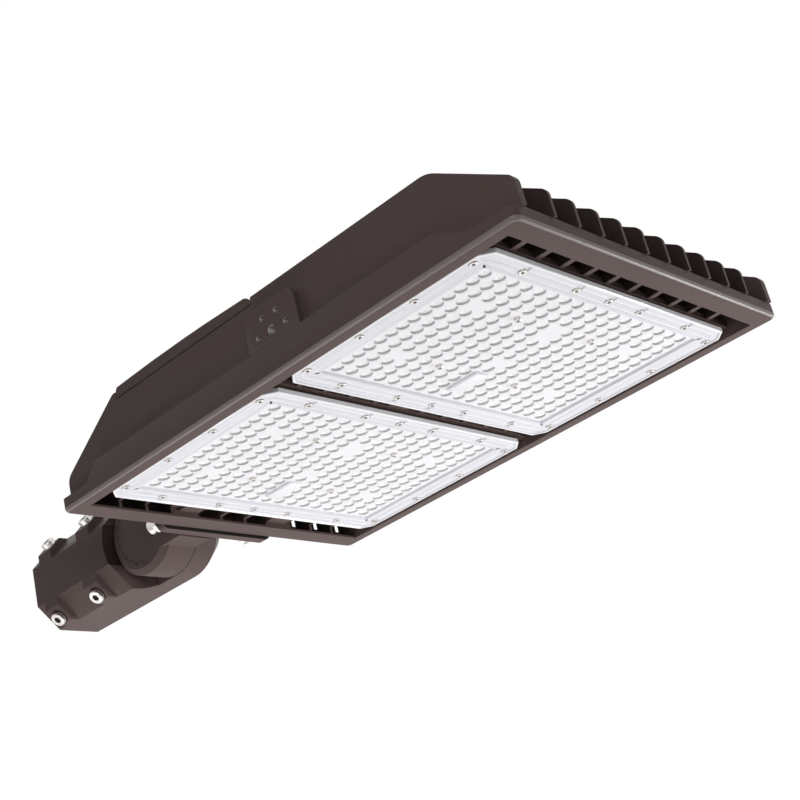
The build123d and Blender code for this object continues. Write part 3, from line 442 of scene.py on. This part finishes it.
def dome_cell():
    """A cell with its dome below and its hollow above."""
    bm = bmesh.new()
    ring = flat_ring(bm, PLANE_Z, DOME_PROFILE[0][0])
    known = mark_new(bm, set(), PLATE)
    for (r0, h0), (r1, h1) in zip(DOME_PROFILE, DOME_PROFILE[1:]):
        ring = extrude_ring(bm, ring, r0, r1, h0 - h1)
    cap = bmesh.ops.edgeloop_fill(bm, edges=ring)["faces"]
    top = bmesh.ops.poke(bm, faces=cap)["verts"]
    bmesh.ops.translate(bm, verts=top, vec=(0, 0, DOME_PROFILE[-1][1] - DOME_TOP))
    known = mark_new(bm, known, DOME)
    ring = flat_ring(bm, BACK_Z, HOLLOW_R)
    known = mark_new(bm, known, PLATE)
    ring = extrude_loop(bm, ring, dz=HOLLOW_Z - BACK_Z)
    # The hollow's wall takes the grey painted shade.
    known = mark_new(bm, known, WALL)
    bmesh.ops.edgeloop_fill(bm, edges=ring)
    mark_new(bm, known, FLOOR)
    return to_mesh(bm, "dome_cell")


def plain_cell():
    """A cell without a dome: its front and its back."""
    bm = bmesh.new()
    for z in (PLANE_Z, BACK_Z):
        edges = loop_of(bm, 4, (ROW_PITCH / sqrt(2), COLUMN_PITCH / sqrt(2)), pi / 4, z, cuts=2)
        bmesh.ops.edgeloop_fill(bm, edges=edges)
    return to_mesh(bm, "plain_cell")


dome_mesh, plain_mesh = dome_cell(), plain_cell()
print("faces in a dome cell:", len(dome_mesh.polygons))

# %% [markdown]
# The frame starts as one flat face with cut corners. Extruding its border makes the side.
# Insets with a small depth make the lip, the ridges and the step down to the field, each
# as one call, and they keep the same width all round. A step is its width, its depth and
# its material. A depth goes along the face's normal, so the face is turned to look down
# first. The face left in the middle is deleted. More extrusions of the border make the
# undercut and the back, and the gaps up to the cells' border are filled flat, so the skin
# closes.

# %% The frame of a lens
LIP_SOFT = 0.5
FRAME_STEPS = (
    (LIP_SOFT, LIP_SOFT, LIP), (1.4, 0.0, LIP), (0.5, -0.9, BAND), (4.6, 0.0, BAND),
    (0.3, 0.2, BAND), (0.5, 0.0, LIP), (0.3, -0.2, BAND), (5.0, 0.0, BAND),
    (0.3, 0.2, BAND), (0.5, 0.0, LIP), (0.3, -0.2, BAND), (4.0, 0.0, BAND), (0.8, -2.0, BAND),
)
BACK_RING_SHARE = (0.885, 0.9)


def outline_face(bm, z):
    """A rectangle with cut corners at a height."""
    grid = bmesh.ops.create_grid(bm, x_segments=1, y_segments=1, size=1.0)["verts"]
    bmesh.ops.scale(bm, verts=grid, vec=(*MODULE_HALF, 1.0))
    bmesh.ops.translate(bm, verts=grid, vec=(0, 0, z))
    corners = list(grid[0].link_faces[0].verts)
    bmesh.ops.bevel(bm, geom=corners, offset=MODULE_CORNER, segments=1, profile=0.5,
                    affect="VERTICES", material=-1)
    return [f for f in bm.faces if all(abs(v.co.z - z) < 1e-6 for v in f.verts)][-1]


def open_border(bm, z):
    """The open edges at a height."""
    return [e for e in bm.edges
            if len(e.link_faces) == 1 and all(abs(v.co.z - z) < 1e-4 for v in e.verts)]


def lens_frame():
    """The frame of a lens: its side, its stepped front, its undercut and its back."""
    bm = bmesh.new()
    face = outline_face(bm, FRAME_Z + LIP_SOFT)
    extrude_loop(bm, list(face.edges), dz=FLANGE_BACK_Z - FRAME_Z - LIP_SOFT)
    mark_new(bm, set(), LIP)
    if face.normal.z > 0:
        face.normal_flip()
    for thickness, depth, index in FRAME_STEPS:
        made = bmesh.ops.inset_region(bm, faces=[face], thickness=thickness, depth=depth,
                                      use_even_offset=True)["faces"]
        for step in made:
            step.material_index = index
    floor_z = sum(v.co.z for v in face.verts) / len(face.verts)
    bmesh.ops.translate(bm, verts=list(face.verts), vec=(0, 0, PLANE_Z - floor_z))
    bmesh.ops.delete(bm, geom=[face], context="FACES_ONLY")
    shrink = [(half - FLANGE_UNDERCUT) / half for half in MODULE_HALF]
    under = extrude_loop(bm, open_border(bm, FLANGE_BACK_Z), shrink)
    extrude_loop(bm, under, dz=BASE_Z - FLANGE_BACK_Z)
    back = [share / done for share, done in zip(BACK_RING_SHARE, shrink)]
    rim = extrude_loop(bm, open_border(bm, BASE_Z), back)
    extrude_loop(bm, rim, dz=BACK_Z - BASE_Z)
    return to_mesh(bm, "lens_frame")


# %% [markdown]
# The tray over the board's connector is a box with rounded edges, and the same function
# makes the webs at the housing's rear later on.

# %% The tray and the whole lens
def block(bm, x, y, z, soft, segments=3):
    """A box between pairs of X, Y and Z values, with rounded edges."""
    cube = bmesh.ops.create_cube(bm, size=1.0)["verts"]
    bmesh.ops.scale(bm, verts=cube, vec=(x[1] - x[0], y[1] - y[0], z[1] - z[0]))
    bmesh.ops.translate(bm, verts=cube, vec=(sum(x) / 2, sum(y) / 2, sum(z) / 2))
    edges = list({e for v in cube for e in v.link_edges})
    bmesh.ops.bevel(bm, geom=edges, offset=soft, segments=segments, profile=0.5,
                    affect="EDGES", material=-1)


def lens_tray():
    """The smooth raised tray over the board's connector."""
    x, y = cell_centre(TRAY_ROW, MIDDLE_COLUMN)
    half_x, half_y = TRAY_HALF
    bm = bmesh.new()
    block(bm, (x - half_x, x + half_x), (y - half_y, y + half_y), TRAY_DEPTH_Z, 1.8)
    mark_new(bm, set(), PLATE)
    return to_mesh(bm, "lens_tray")


def lens_skin():
    """A whole lens: field, domes, frame, tray and back, centred on X and Y."""
    bm = bmesh.new()
    for row in range(ROWS):
        for column in range(COLUMNS):
            cell = dome_mesh if has_dome(row, column) else plain_mesh
            stamp(bm, cell, Matrix.Translation((*cell_centre(row, column), 0)))
    bmesh.ops.remove_doubles(bm, verts=bm.verts, dist=1e-3)
    stamp(bm, lens_frame(), Matrix.Identity(4))
    stamp(bm, lens_tray(), Matrix.Identity(4))
    for z in (PLANE_Z, BACK_Z):
        filled = bmesh.ops.triangle_fill(bm, edges=open_border(bm, z), use_beauty=True,
                                         normal=(0, 0, 1))["geom"]
        for made in filled:
            if isinstance(made, bmesh.types.BMFace):
                made.material_index = PLATE
    bmesh.ops.recalc_face_normals(bm, faces=bm.faces)
    loose = sum(1 for e in bm.edges if len(e.link_faces) != 2)
    print("lens faces:", len(bm.faces), "open edges:", loose)
    return bm


# %% [markdown]
# Each screw at the lens's edge sits in a shallow notch with round ends, which runs from the
# screw towards the edge. A notch is a round bar whose outer half is pulled outwards. All
# the bars of a lens are one cutter for a Boolean modifier, whose result is kept as the
# piece's mesh.

# %% Screw places and notches
SCREW_SEAT_Z = -20.0
NOTCH_FLOOR_Z = -20.6
NOTCH_R = 3.4
NOTCH_END_INSET = 6.0
SCREW_INSET = (10.0, 6.5)
LONG_SIDE_Y, SHORT_SIDE_X = (-97.7, -38.3, 0.0, 38.3, 97.7), (-77.4, -25.7, 25.7, 77.4)
EDGE_X, EDGE_Y = (half - inset for half, inset in zip(MODULE_HALF, SCREW_INSET))
edge_screws = [(side * EDGE_X, y, (side, 0)) for side in (-1, 1) for y in LONG_SIDE_Y]
edge_screws += [(x, side * EDGE_Y, (0, side)) for side in (-1, 1) for x in SHORT_SIDE_X]
inner_screws = [cell_centre(row, column) for row in SCREW_ROWS for column in SCREW_COLUMNS]


def notch_cutter(centre_x):
    """One bmesh with a bar for every notch of a lens."""
    bm = bmesh.new()
    for x, y, way in edge_screws:
        first = len(bm.verts)
        bmesh.ops.create_cone(bm, cap_ends=True, segments=20, radius1=NOTCH_R, radius2=NOTCH_R,
                              depth=2 * (NOTCH_FLOOR_Z - FRAME_Z))
        bm.verts.ensure_lookup_table()
        bar = bm.verts[first:]
        outer = [v for v in bar if v.co.x * way[0] + v.co.y * way[1] > 0.1]
        pull = (SCREW_INSET[0] if way[0] else SCREW_INSET[1]) - NOTCH_END_INSET
        bmesh.ops.translate(bm, verts=outer, vec=(way[0] * pull, way[1] * pull, 0))
        bmesh.ops.translate(bm, verts=bar, vec=(centre_x + x, y, FRAME_Z))
    for face in bm.faces:
        face.material_index = NOTCH if abs(face.normal.z) < 0.5 else BAND
    return bm


def cut_with(piece, bm):
    """Take a bmesh's shape out of a piece and keep the result as its mesh."""
    bmesh.ops.scale(bm, vec=(MM, MM, MM), verts=bm.verts)
    mesh = to_mesh(bm, "cutter")
    for material in piece.data.materials:
        mesh.materials.append(material)
    cutter = link_object("cutter", mesh)
    cut = piece.modifiers.new("cut", "BOOLEAN")
    cut.operation = "DIFFERENCE"
    cut.solver = "EXACT"
    cut.object = cutter
    bpy.context.view_layer.update()
    evaluated = piece.evaluated_get(bpy.context.evaluated_depsgraph_get())
    result = bpy.data.meshes.new_from_object(evaluated)
    piece.modifiers.remove(cut)
    piece.data = result
    bpy.data.objects.remove(cutter)


# %% Both lenses
for end, centre_x in MODULE_X.items():
    skin = lens_skin()
    bmesh.ops.translate(skin, verts=skin.verts, vec=(centre_x, 0, 0))
    lens = finish_piece(end + "_lens_moulding", skin, LENS_MATERIALS, "luminaire",
                        [end + "_lens"])
    cut_with(lens, notch_cutter(centre_x))
    smooth(lens, 35)
    print(lens.name, len(lens.data.polygons), "faces")

# %% [markdown]
# ## LED chips
# Under each dome sits one LED: a white reflecting disc with a dot of yellow phosphor. Only
# the dot shows through the dome, but it is what makes the domes read as lenses. The disc's
# side is one extrusion, and its face is drawn in to the dot by another.

# %% LED chips
CHIP_R, CHIP_H, PHOSPHOR_R = 4.5, 1.0, 0.55
BOARD_Z = -17.0
chip = bmesh.new()
ring = loop_of(chip, DOME_SIDES, (CHIP_R, CHIP_R), pi / DOME_SIDES, BOARD_Z)
bmesh.ops.edgeloop_fill(chip, edges=ring)
ring = extrude_loop(chip, ring, dz=-CHIP_H)
ring = extrude_ring(chip, ring, CHIP_R, PHOSPHOR_R, 0.0)
known = set(chip.faces)
bmesh.ops.edgeloop_fill(chip, edges=ring)
mark_new(chip, known, 1)
bmesh.ops.recalc_face_normals(chip, faces=chip.faces)
chip_mesh = to_mesh(chip, "chip")
for end, centre_x in MODULE_X.items():
    chips = bmesh.new()
    for row, column in domes:
        x, y = cell_centre(row, column)
        stamp(chips, chip_mesh, Matrix.Translation((centre_x + x, y, 0)))
    finish_piece(end + "_led_chips", chips, [chip_white, phosphor], "luminaire")
print("LED chips in a module:", len(domes))

# %% [markdown]
# ## Bolts and screws
# All the fasteners are socket screws, so one function makes them all. Two circles and a
# hexagon are given the same number of points, so bridging them makes clean quads: the
# face under the head, and the flat round the socket. Every second point of the head's side
# is drawn in a little, which is the knurl. The numbers are shares of the screw's own sizes.

# %% One screw
SCREW_SIDES = 48
CHAMFER, SEAT_STEP = 0.12, 0.3
FLAT_WIDTH, DISH_WIDTH, DISH = 0.8, 0.94, 0.06
SOCKET_DEPTH = 0.55
KNURL = 0.97
POINT_LENGTH, POINT_WIDTH = 0.2, 0.8


def is_dent(vert):
    """Whether a point of the head's side is one of those that are drawn in."""
    angle = Vector((vert.co.x, vert.co.y)).angle_signed(Vector((1, 0)))
    return round(angle / (2 * pi) * SCREW_SIDES) % 2


def socket_screw(head_r, head_h, socket_r, shank_r, shank_l):
    """A socket screw with its seat at the origin and its head along +Z."""
    bm = bmesh.new()
    chamfer, dish = CHAMFER * head_r, DISH * head_r
    shank = loop_of(bm, SCREW_SIDES, (shank_r, shank_r), 0.0, 0.0)
    side = loop_of(bm, SCREW_SIDES, (head_r, head_r), 0.0, 0.0)
    bmesh.ops.bridge_loops(bm, edges=shank + side)
    step = SEAT_STEP * chamfer
    side = extrude_loop(bm, side, dz=step)
    side = extrude_loop(bm, side, dz=head_h - step - chamfer)
    knurl = {v for e in side for v in e.verts}
    below = {e.other_vert(v) for v in knurl for e in v.link_edges
             if abs(e.other_vert(v).co.z - v.co.z) > 0.01}
    dents = [v for v in knurl | below if is_dent(v)]
    bmesh.ops.scale(bm, verts=dents, vec=(KNURL, KNURL, 1.0))
    top = extrude_ring(bm, side, head_r, head_r - chamfer, chamfer)
    for vert in {v for e in top for v in e.verts}:
        vert.co.xy = vert.co.xy.normalized() * (head_r - chamfer)
    top = extrude_loop(bm, top, (FLAT_WIDTH,) * 2)
    top = extrude_loop(bm, top, (DISH_WIDTH,) * 2, -dish)
    socket = loop_of(bm, 6, (socket_r, socket_r), 0.0, head_h - dish, cuts=SCREW_SIDES // 6 - 1)
    bmesh.ops.bridge_loops(bm, edges=top + socket)
    known = set(bm.faces)
    bottom = extrude_loop(bm, socket, dz=-SOCKET_DEPTH * head_h)
    bmesh.ops.edgeloop_fill(bm, edges=bottom)
    mark_new(bm, known, 1)
    point = POINT_LENGTH * shank_r
    shank = extrude_loop(bm, shank, dz=-shank_l + point)
    shank = extrude_loop(bm, shank, (POINT_WIDTH,) * 2, -point)
    bmesh.ops.edgeloop_fill(bm, edges=shank)
    bmesh.ops.recalc_face_normals(bm, faces=bm.faces)
    return to_mesh(bm, "screw")


def screws(name, node, body, sizes, places, metal=steel):
    """All the copies of one screw, as one piece in its node's place."""
    mesh = socket_screw(*sizes)
    bm = bmesh.new()
    for point, direction in places:
        turn = Vector(direction).to_track_quat("Z", "Y").to_matrix().to_4x4()
        stamp(bm, mesh, Matrix.Translation(point) @ turn)
    piece = finish_piece(name, bm, [metal, socket_dark], body, [node])
    smooth(piece, 30)
    print(name, len(places))


# %% [markdown]
# A kind of screw has the radius and height of its head, the radius of its socket and the
# radius of its shank; the shank's length comes with each use. A place is the point under
# the head, and the way that the head looks. The clamp bolts look down and up from the
# arm's near side, at 45 degrees.

# %% All the screws
M3 = (2.8, 2.6, 1.3, 1.5)
M5 = (4.5, 3.0, 1.73, 2.5)
M8 = (6.5, 8.0, 3.46, 4.0)
M12 = (9.0, 12.0, 5.77, 6.0)
CLAMP_X, CLAMP_SEAT = (20.0, 77.0), 45.6
CLAMP_WAYS = [(0, -1 / sqrt(2), side / sqrt(2)) for side in (-1, 1)]
FLANGE_SEAT_X, FLANGE_Y, FLANGE_Z = 187.0, (-50.5, 50.5), (-14.0, 17.0)
COVER_X, COVER_Y, COVER_TOP_Z = (293.0, 421.0), (-141.4, 141.4), 44.9
PIVOT_SEAT_Y = 28.5

screws("clamp_cap_bolts", "clamp_bolts", "slip_fitter", (*M8, 14.4),
       [((x, CLAMP_SEAT * way[1], CLAMP_SEAT * way[2]), way) for x in CLAMP_X for way in CLAMP_WAYS])
screws("flange_cap_bolts", "flange_bolts", "luminaire", (*M8, 34.0),
       [((FLANGE_SEAT_X, y, z), (-1, 0, 0)) for y in FLANGE_Y for z in FLANGE_Z])
screws("cover_cap_screws", "cover_screws", "luminaire", (*M5, 18.5),
       [((x, y, COVER_TOP_Z), (0, 0, 1)) for x in COVER_X for y in COVER_Y])
screws("pivot_cap_bolt", "pivot_bolt", "slip_fitter", (*M12, 53.5),
       [((PIVOT_X, PIVOT_SEAT_Y, 0.0), (0, 1, 0))])
seats = [(x, y, SCREW_SEAT_Z) for x, y, way in edge_screws]
seats += [(x, y, PLANE_Z) for x, y in inner_screws]
for end, centre_x in MODULE_X.items():
    screws(end + "_lens_cap_screws", end + "_lens_screws", "luminaire", (*M3, 3.9),
           [((centre_x + x, y, z), (0, 0, -1)) for x, y, z in seats], dull_steel)

# %% [markdown]
# ## Threads in the trunnion holes
# The five holes in each side pad are tapped. A thread seen from outside is a stack of
# rings, so one ring of edges is drawn in and let out again once for each turn, and then
# taken straight back to where it started, which closes the sleeve.

# %% Threads
PAD_HOLE_X, PAD_HOLE_Z = 457.0, 9.4
PAD_FACE_Y, PAD_CIRCLE_R = 159.4, 14.0
PAD_CIRCLE_ANGLES = (0, 60, 120, 180)
THREAD_SINK = 0.4


def thread_sleeve(major_r, minor_r, pitch, turns):
    """A sleeve with rings inside, from Z = 0 upwards."""
    bm = bmesh.new()
    ring = loop_of(bm, 24, (major_r, major_r), 0.0, 0.0)
    for _ in range(turns):
        ring = extrude_ring(bm, ring, major_r, minor_r, pitch / 2)
        ring = extrude_ring(bm, ring, minor_r, major_r, pitch / 2)
    extrude_loop(bm, ring, dz=-turns * pitch)
    bmesh.ops.remove_doubles(bm, verts=bm.verts, dist=1e-3)
    bmesh.ops.recalc_face_normals(bm, faces=bm.faces)
    return to_mesh(bm, "thread_sleeve")


m8_thread = thread_sleeve(major_r=3.98, minor_r=3.2, pitch=1.25, turns=7)
m5_thread = thread_sleeve(major_r=2.48, minor_r=1.9, pitch=0.8, turns=11)
spots = [(m8_thread, 0.0, 0.0)]
spots += [(m5_thread, PAD_CIRCLE_R * cos(radians(a)), PAD_CIRCLE_R * sin(radians(a)))
          for a in PAD_CIRCLE_ANGLES]
threads = bmesh.new()
for side in (-1, 1):
    inward = Vector((0, -side, 0)).to_track_quat("Z", "Y").to_matrix().to_4x4()
    mouth_y = side * (PAD_FACE_Y - THREAD_SINK)
    for mesh, dx, dz in spots:
        place = Matrix.Translation((PAD_HOLE_X + dx, mouth_y, PAD_HOLE_Z + dz))
        stamp(threads, mesh, place @ inward)
finish_piece("trunnion_threads", threads, [bare_aluminium], "luminaire")
print("threaded holes:", 2 * len(spots))

# %% [markdown]
# ## Webs at the rear
# The channels between the fins end in thin cast webs. Each web has one upright slot, a
# drain, and the sky shows through it as a bright slit. A web is two blocks, with the
# slot left between them.

# %% Rear webs
WEB_X, WEB_Z = (210.0, 212.0), (-21.3, 1.5)
WEB_ENDS_AND_SLOT_Y = ((67.0, 90.2, 84.7), (93.2, 116.4, 112.0), (119.4, 147.4, 139.5))
SLOT_HALF = 2.6
webs = bmesh.new()
for low, high, slot in WEB_ENDS_AND_SLOT_Y:
    for a, b in ((low, slot - SLOT_HALF), (slot + SLOT_HALF, high)):
        block(webs, WEB_X, (a, b), WEB_Z, 0.4, 1)
        block(webs, WEB_X, (-b, -a), WEB_Z, 0.4, 1)
# The webs take the darker coat: painted shade at the channels' ends.
rear_webs = finish_piece("rear_webs", webs, [painted_shade_bronze], "luminaire")
smooth(rear_webs, 40)
print("rear webs:", 2 * len(WEB_ENDS_AND_SLOT_Y))

# %% [markdown]
# ## The dial on the knuckle
# The hub carries raised degree numbers, so that the installer can set the tilt. They are
# plain text, made a mesh before being laid on the hub's face, because a piece's place
# belongs in its mesh.

# %% Degree numbers
HUB_FACE_Y = -34.0
NUMBER_R, NUMBER_HEIGHT, NUMBER_RELIEF = 29.0, 3.2, 0.7
CAPITAL_SHARE = 0.7
FIRST_TURN, NUMBER_STEP = 145, 15


def number_mesh(text):
    """A number as a mesh in millimetres, centred, standing up from Z = 0."""
    curve = bpy.data.curves.new("number", "FONT")
    curve.body = text
    curve.size = NUMBER_HEIGHT / CAPITAL_SHARE
    curve.extrude = NUMBER_RELIEF
    curve.align_x = "CENTER"
    curve.align_y = "CENTER"
    curve.resolution_u = 3
    holder = link_object("number", curve)
    bpy.context.view_layer.update()
    mesh = bpy.data.meshes.new_from_object(holder)
    bpy.data.objects.remove(holder)
    return mesh


numbers = bmesh.new()
stand = Matrix.Rotation(radians(90), 4, "X")
for i, degrees in enumerate(range(-30, 91, NUMBER_STEP)):
    turn = radians(FIRST_TURN + NUMBER_STEP * i)
    x, z = NUMBER_R * cos(turn), NUMBER_R * sin(turn)
    lean = Matrix.Rotation(turn - radians(90), 4, "Z")
    place = Matrix.Translation((PIVOT_X + x, HUB_FACE_Y, z))
    stamp(numbers, number_mesh(str(degrees)), place @ stand @ lean)
bmesh.ops.remove_doubles(numbers, verts=numbers.verts, dist=1e-4)
finish_piece("tilt_degree_numbers", numbers, [bronze], "luminaire")
print("degree numbers: -30 to 90")

# %% [markdown]
# ## Floor, light and background
# The object hangs over a plain pale floor, well below the camera, which looks up. The
# light is soft and mostly from below: a large lamp, three smaller ones, a weaker one from
# the side and one from above, under an even sky. Some rays carry a picture: those from
# the camera, and those that a glossy or clear surface sends on. They see a white
# background and a pale floor. All other rays see the dim sky and the plain floor, so the
# white adds no soft light of its own to the object.

# %% The floor
FLOOR_Z = -0.62
FLOOR_PALENESS = 0.60


def picture_rays(tree):
    """A socket that is 1 on the rays that carry a picture, and 0 on all others."""
    path = tree.nodes.new("ShaderNodeLightPath")
    seen = path.outputs["Is Camera Ray"]
    for name in ("Is Glossy Ray", "Is Transmission Ray"):
        either = tree.nodes.new("ShaderNodeMath")
        either.operation = "MAXIMUM"
        tree.links.new(seen, either.inputs[0])
        tree.links.new(path.outputs[name], either.inputs[1])
        seen = either.outputs[0]
    return seen


floor_bm = bmesh.new()
bmesh.ops.create_grid(floor_bm, x_segments=1, y_segments=1, size=6.0)
bmesh.ops.translate(floor_bm, verts=floor_bm.verts, vec=(0.35, 0.0, FLOOR_Z))
floor_finish = finish("studio_floor", (0.80, 0.80, 0.80), (0.82, 0.82, 0.82), 0.8,
                      grain=60.0, bump=0.0, specular=0.0)
tree = floor_finish.node_tree
floor_shader = tree.nodes["Principled BSDF"]
paleness = tree.nodes.new("ShaderNodeMath")
paleness.operation = "MULTIPLY"
paleness.inputs[1].default_value = FLOOR_PALENESS
tree.links.new(picture_rays(tree), paleness.inputs[0])
tree.links.new(paleness.outputs[0], floor_shader.inputs["Emission Strength"])
floor_shader.inputs["Emission Color"].default_value = (1.0, 1.0, 1.0, 1.0)
floor_mesh = to_mesh(floor_bm, "studio_floor")
floor_mesh.materials.append(floor_finish)
floor = link_object("studio_floor", floor_mesh)
print("floor at", FLOOR_Z, "m")

# %% Lamps, each with its place, its target, its size and its power
LAMPS = (
    ("below", (0.36, 0.05, -0.59), (0.40, 0.0, 0.0), 1.3, 6.5),
    ("below_right", (0.98, 0.82, -0.57), (0.60, 0.0, 0.0), 0.45, 10.0),
    ("below_rear", (-0.22, -0.10, -0.50), (0.15, -0.05, 0.0), 0.50, 0.8),
    ("below_left", (0.10, -0.46, -0.57), (0.35, -0.16, -0.02), 0.18, 0.7),
    ("side", (0.95, -0.80, 0.0), (0.50, -0.16, 0.0), 0.7, 2.7),
    ("top", (0.50, 0.40, 1.30), (0.45, 0.0, 0.0), 1.4, 2.2),
)
for name, place, target, size, power in LAMPS:
    lamp_data = bpy.data.lights.new(name, "AREA")
    lamp_data.size = size
    lamp_data.energy = power
    lamp = link_object(name, lamp_data)
    lamp.location = place
    lamp.visible_camera = False
    aim = Vector(target) - Vector(place)
    lamp.rotation_euler = aim.to_track_quat("-Z", "Y").to_euler()
print("lamps:", len(LAMPS))

# %% The sky
SKY_STRENGTH, BACKGROUND_STRENGTH = 0.11, 1.0
world = bpy.data.worlds.new("studio_sky")
bpy.context.scene.world = world
world.use_nodes = True
tree = world.node_tree
tree.nodes.clear()
choose = tree.nodes.new("ShaderNodeMixShader")
tree.links.new(picture_rays(tree), choose.inputs["Fac"])
for i, strength in enumerate((SKY_STRENGTH, BACKGROUND_STRENGTH), start=1):
    background = tree.nodes.new("ShaderNodeBackground")
    background.inputs["Color"].default_value = (1.0, 1.0, 1.0, 1.0)
    background.inputs["Strength"].default_value = strength
    tree.links.new(background.outputs[0], choose.inputs[i])
output = tree.nodes.new("ShaderNodeOutputWorld")
tree.links.new(choose.outputs[0], output.inputs["Surface"])
print("sky:", len(tree.nodes), "nodes")
